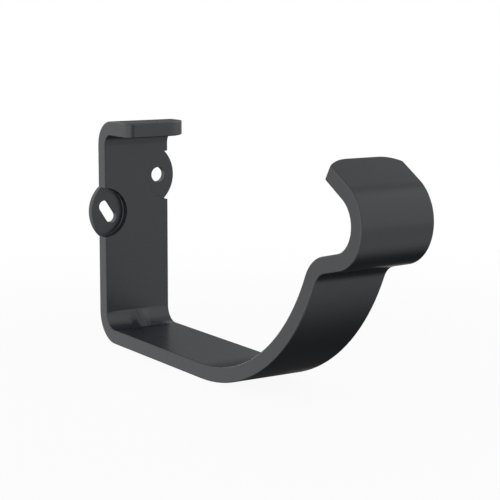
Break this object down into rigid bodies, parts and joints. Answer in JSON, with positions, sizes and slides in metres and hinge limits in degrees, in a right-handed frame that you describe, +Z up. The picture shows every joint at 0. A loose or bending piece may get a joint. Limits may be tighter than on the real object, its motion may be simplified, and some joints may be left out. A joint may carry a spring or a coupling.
{
  "type": "gutter bracket",
  "caption": "Fascia bracket bent from one flat steel strip, with a hooked front lip, a top tab and thin fixing ears on both edges of its back.",
  "frame": {"origin": "mid-width on the back face, level with the centre of the round fixing hole", "axes": "+X along the gutter, +Y into the fascia board, +Z up"},
  "size_m": [0.0332, 0.1533, 0.0783],
  "materials": {
    "powder_coat": "satin anthracite powder coat"
  },
  "bodies": {
    "root": {"gutter_bracket": "powder_coat"}
  },
  "joints": []
}
